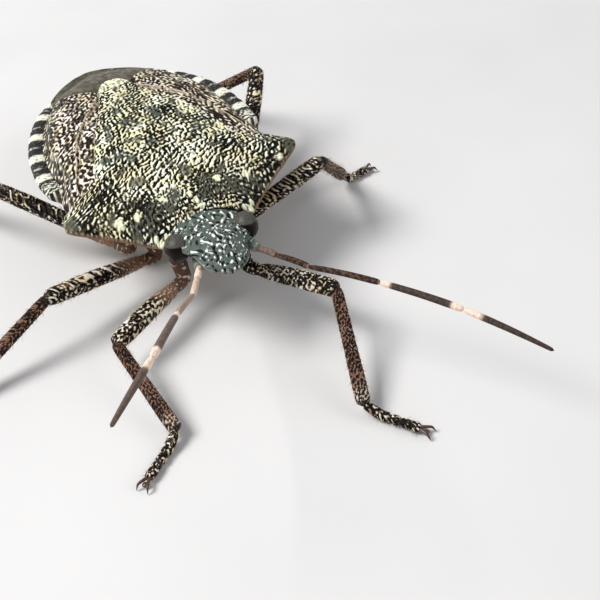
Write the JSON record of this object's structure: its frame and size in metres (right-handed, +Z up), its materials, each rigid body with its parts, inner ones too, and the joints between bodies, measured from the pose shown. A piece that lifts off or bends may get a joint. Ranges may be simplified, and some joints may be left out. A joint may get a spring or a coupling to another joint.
{
  "type": "shield bug model",
  "caption": "Life-size still model of a mottled brown shield bug standing with its head towards the viewer and its feelers spread.",
  "frame": {"origin": "centre of the standing animal's footprint box, on the floor under its feet", "axes": "+Z up, the head towards -Y, +X to the animal's own left"},
  "size_m": [0.0174, 0.021, 0.0063],
  "materials": {
    "back_shell": "cream ridges with black pits, dull with grey-green metallic patches",
    "head_shell": "slate grey-green, pitted, with pale specks",
    "wing_cover": "brown and cream mottling along raised veins",
    "wing_membrane": "thin smoky olive-brown skin with darker veins, slightly glossy",
    "rim": "black and white bands along the edge of the abdomen",
    "underside": "pale fawn with small dark pits",
    "limb": "cream and black mottling over reddish brown, with short hairs",
    "foot": "brown and cream, with dark claws",
    "feeler": "reddish brown to grey-brown with pale bands",
    "eye": "dark red-black facets with a soft gloss"
  },
  "bodies": {
    "root": {"head": "head_shell", "eye_left": "eye", "eye_right": "eye", "beak": "limb", "antenna_left": "feeler", "antenna_right": "feeler", "pronotum": "back_shell", "scutellum": "back_shell", "wing_left": "wing_cover", "wing_right": "wing_cover", "wing_membranes": "wing_membrane", "abdomen": "rim", "thorax": "underside", "leg_front_left_coxa": "limb", "leg_front_left_femur": "limb", "leg_front_left_tibia": "limb", "leg_front_left_tarsus": "foot", "leg_front_right_coxa": "limb", "leg_front_right_femur": "limb", "leg_front_right_tibia": "limb", "leg_front_right_tarsus": "foot", "leg_middle_left_coxa": "limb", "leg_middle_left_femur": "limb", "leg_middle_left_tibia": "limb", "leg_middle_left_tarsus": "foot", "leg_middle_right_coxa": "limb", "leg_middle_right_femur": "limb", "leg_middle_right_tibia": "limb", "leg_middle_right_tarsus": "foot", "leg_hind_left_coxa": "limb", "leg_hind_left_femur": "limb", "leg_hind_left_tibia": "limb", "leg_hind_left_tarsus": "foot", "leg_hind_right_coxa": "limb", "leg_hind_right_femur": "limb", "leg_hind_right_tibia": "limb", "leg_hind_right_tarsus": "foot"}
  },
  "joints": []
}
